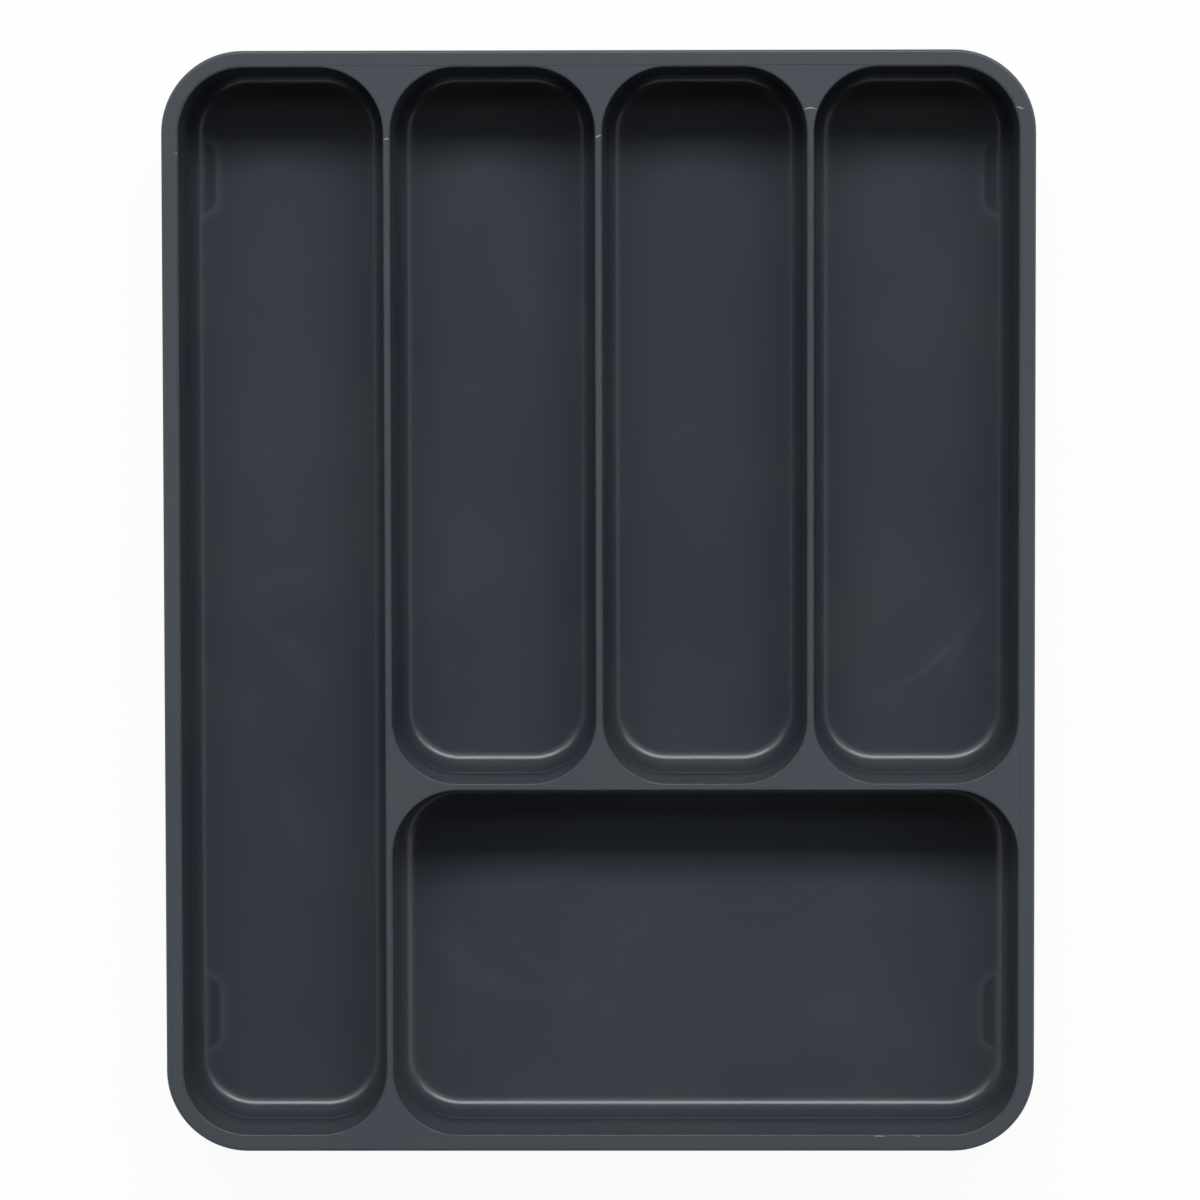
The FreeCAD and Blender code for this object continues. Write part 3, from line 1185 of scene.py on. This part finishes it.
WHITENED = MouldedPlastic("whitened_plastic", (0.33, 0.34, 0.36), (0.35, 0.36, 0.38), 0.6, dust=0.0)
RUBBER = MouldedPlastic("pad_rubber", (0.020, 0.020, 0.022), (0.022, 0.022, 0.023), 0.75, grain_size=0.3 * MM)


def tray_plastics(halo: SinkHalo) -> dict[Finish, MouldedPlastic]:
    """The plastic of each surface of the moulding; halo is the paler ring round the marks over the feet, with
    painted shade inside them.
    """
    return {
        Finish.POCKET: MouldedPlastic("pocket_plastic", (0.044, 0.0515, 0.068), (0.046, 0.055, 0.066), 0.22,
                                      specular=0.38, scuffs=FLOOR_SCUFFS, halo=halo),
        Finish.DECK: MouldedPlastic("deck_plastic", (0.044, 0.054, 0.069), (0.046, 0.056, 0.067), 0.75),
        Finish.OUTSIDE: MouldedPlastic("outside_plastic", (0.048, 0.055, 0.068), (0.050, 0.057, 0.066), 0.46),
        # Same plastic as the pockets but rougher, and darker as painted shade on the walls and steep edges
        Finish.SHADED_WALL: MouldedPlastic("wall_plastic_painted_shade", (0.036, 0.042, 0.056), (0.038, 0.045, 0.055), 0.3),
    }


@dataclass(frozen=True)
class StudioWhite:
    """White paper: white to the eye and to reflections, with a faint shadow left on it."""

    name: str = "studio_white"
    colour: Colour = (0.9, 0.9, 0.9)
    glow: float = 0.94

    def material(self) -> Material:
        """Builds the material."""
        made, book = blank_material(self.name)
        rays = book.add("ShaderNodeLightPath").outputs
        seen = book.math("MAXIMUM", rays["Is Camera Ray"], rays["Is Glossy Ray"])
        seen = book.math("MAXIMUM", seen, rays["Is Transmission Ray"])
        paper = book.add("ShaderNodeBsdfDiffuse", {"Color": opaque(self.colour)}).outputs[0]
        light = book.add("ShaderNodeEmission", {"Color": WHITE, "Strength": 1.0}).outputs[0]
        mix = book.add("ShaderNodeMixShader", {0: book.times(seen, self.glow), 1: paper, 2: light})
        book.add("ShaderNodeOutputMaterial", {"Surface": mix.outputs[0]})
        return made


@dataclass(frozen=True)
class CeilingPanel:
    """A level soft light above the tray; its edges are slopes, seen from the tray's middle."""

    name: str
    across: Point
    along: Point
    radiance: float

    def build(self, below: Vector, rise: float) -> None:
        """Makes the light; rise is its height above the tray's middle, which lies below it."""
        data = bpy.data.lights.new(self.name, "AREA")
        data.shape = "RECTANGLE"
        data.size = rise * (self.across[1] - self.across[0])
        data.size_y = rise * (self.along[1] - self.along[0])
        data.energy = self.radiance * math.pi * data.size * data.size_y
        lamp = bpy.data.objects.new(self.name, data)
        lamp.location = below + rise * Vector((sum(self.across) / 2, sum(self.along) / 2, 1.0))
        lamp.visible_camera = False
        bpy.context.scene.collection.objects.link(lamp)


def facing(place: Vector, target: Vector) -> Matrix:
    """Place and turn of something that looks along its own -Z, with the frame's +Y upwards in its view.

    Args:
        place: Where it stands.
        target: Where it looks.

    Returns:
        The matrix of the object.
    """
    back = (place - target).normalized()
    right = Vector((0.0, 1.0, 0.0)).cross(back).normalized()
    up = back.cross(right)
    turn = Matrix((right, up, back)).transposed().to_4x4()
    return Matrix.Translation(place) @ turn


@dataclass
class Studio:
    """Paper floor, lights and camera."""

    rim_top: float
    aim_x: float = 0.3 * MM
    aim_y: float = 1.3 * MM
    camera_side: float = 25.0 * MM
    camera_back: float = 135.0 * MM
    camera_height: float = 2.2
    camera_turn: float = -0.11
    view_width: float = 429.6 * MM
    sensor: float = 36.0
    sight: float = 24.0
    floor_core: float = 1.0 * MM
    floor_radius: float = 6.0
    back_room: float = 6.0
    wall_height: float = 2.5
    bend_steps: int = 12
    round_steps: int = 24
    ambient: float = 0.06
    ceiling: float = 4.0
    lights: tuple[CeilingPanel, ...] = (
        CeilingPanel("bank_middle", (-0.5, 0.6), (0.58, 0.9), 13.3),
        CeilingPanel("bank_right", (0.6, 1.3), (0.48, 1.0), 4.2),
        CeilingPanel("bank_left", (-1.1, -0.5), (0.48, 1.0), 3.4),
        CeilingPanel("bank_low", (-0.9, 1.0), (0.25, 0.4), 1.5),
        CeilingPanel("fill_left", (-2.5, -1.1), (-0.6, 0.4), 0.6),
        CeilingPanel("fill_right", (1.3, 2.5), (-0.6, 0.4), 1.2),
        CeilingPanel("fill_near", (0.8, 1.3), (-0.5, 0.35), 0.45),
    )

    def build(self) -> None:
        """Sets up everything round the tray."""
        middle = Vector((0.0, 0.0, self.rim_top))
        for light in self.lights:
            light.build(middle, self.ceiling)
        self._floor()
        self._camera(middle + Vector((self.aim_x, self.aim_y, 0.0)))
        self._surroundings()

    def _floor(self) -> None:
        """A sheet of paper with round ends that turns up at its edge, further off at the back."""
        skin = Skin()
        bend = self.wall_height / 2
        inner = self.floor_radius - bend
        turn_up = arc((inner, bend), bend, -90, 0, self.bend_steps)
        section = [(inner, 0.0), *turn_up[1:], (self.floor_radius, self.wall_height)]
        core = self.floor_core
        plan = Plan(-core, core, -core, self.back_room, (core,) * 4, self.round_steps, side_step=1.0)
        first, _ = skin.sweep(plan, section, Finish.OUTSIDE)
        skin.cap(first, Finish.OUTSIDE)
        floor = skin.to_object("paper")
        floor.data.shade_smooth()
        wear(floor, StudioWhite().material())

    def _camera(self, target: Vector) -> None:
        """A long lens almost straight above the tray."""
        data = bpy.data.cameras.new("overhead")
        place = target + Vector((self.camera_side, self.camera_back, self.camera_height))
        data.sensor_width = self.sensor
        data.lens = self.sensor * (place - target).length / self.view_width
        data.clip_end = self.sight
        camera = bpy.data.objects.new("overhead", data)
        camera.matrix_world = facing(place, target) @ Matrix.Rotation(math.radians(self.camera_turn), 4, "Z")
        bpy.context.scene.collection.objects.link(camera)
        bpy.context.scene.camera = camera

    def _surroundings(self) -> None:
        """A dim, even studio round the lights."""
        world = bpy.data.worlds.new("studio")
        world.use_nodes = True
        sky = world.node_tree.nodes["Background"]
        sky.inputs["Color"].default_value = WHITE
        sky.inputs["Strength"].default_value = self.ambient
        bpy.context.scene.world = world
        bpy.context.scene.view_settings.view_transform = "Standard"


def main() -> None:
    """Builds the tray, its pads and the studio, and reports each piece."""
    logging.basicConfig(level=logging.INFO, format="%(name)s: %(message)s")
    pads = FootPads([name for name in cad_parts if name.startswith("foot_pad")])
    low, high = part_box("tray_body")
    tray = TrayMoulding(low, high, pads.boxes())
    effects = SurfaceEffects()
    plastics = tray_plastics(SinkHalo(tray.feet[0].sink, tray.section.floor_top))
    moulding = tray.build()
    tray.dress(moulding, {finish: plastic.material(effects) for finish, plastic in plastics.items()})
    lines = WitnessMarks(tray.section.field_top, tray.section.field_drop)
    marks = lines.build()
    lines.dress(marks, WHITENED.material(effects))
    for piece in [moulding, *marks]:
        log.info("%s: %d faces", piece.name, len(piece.data.polygons))
    pads.dress(RUBBER.material(effects))
    for name in pads.names:
        log.info("%s: dressed", name)
    Studio(high.z).build()


if __name__ == "__main__":
    main()
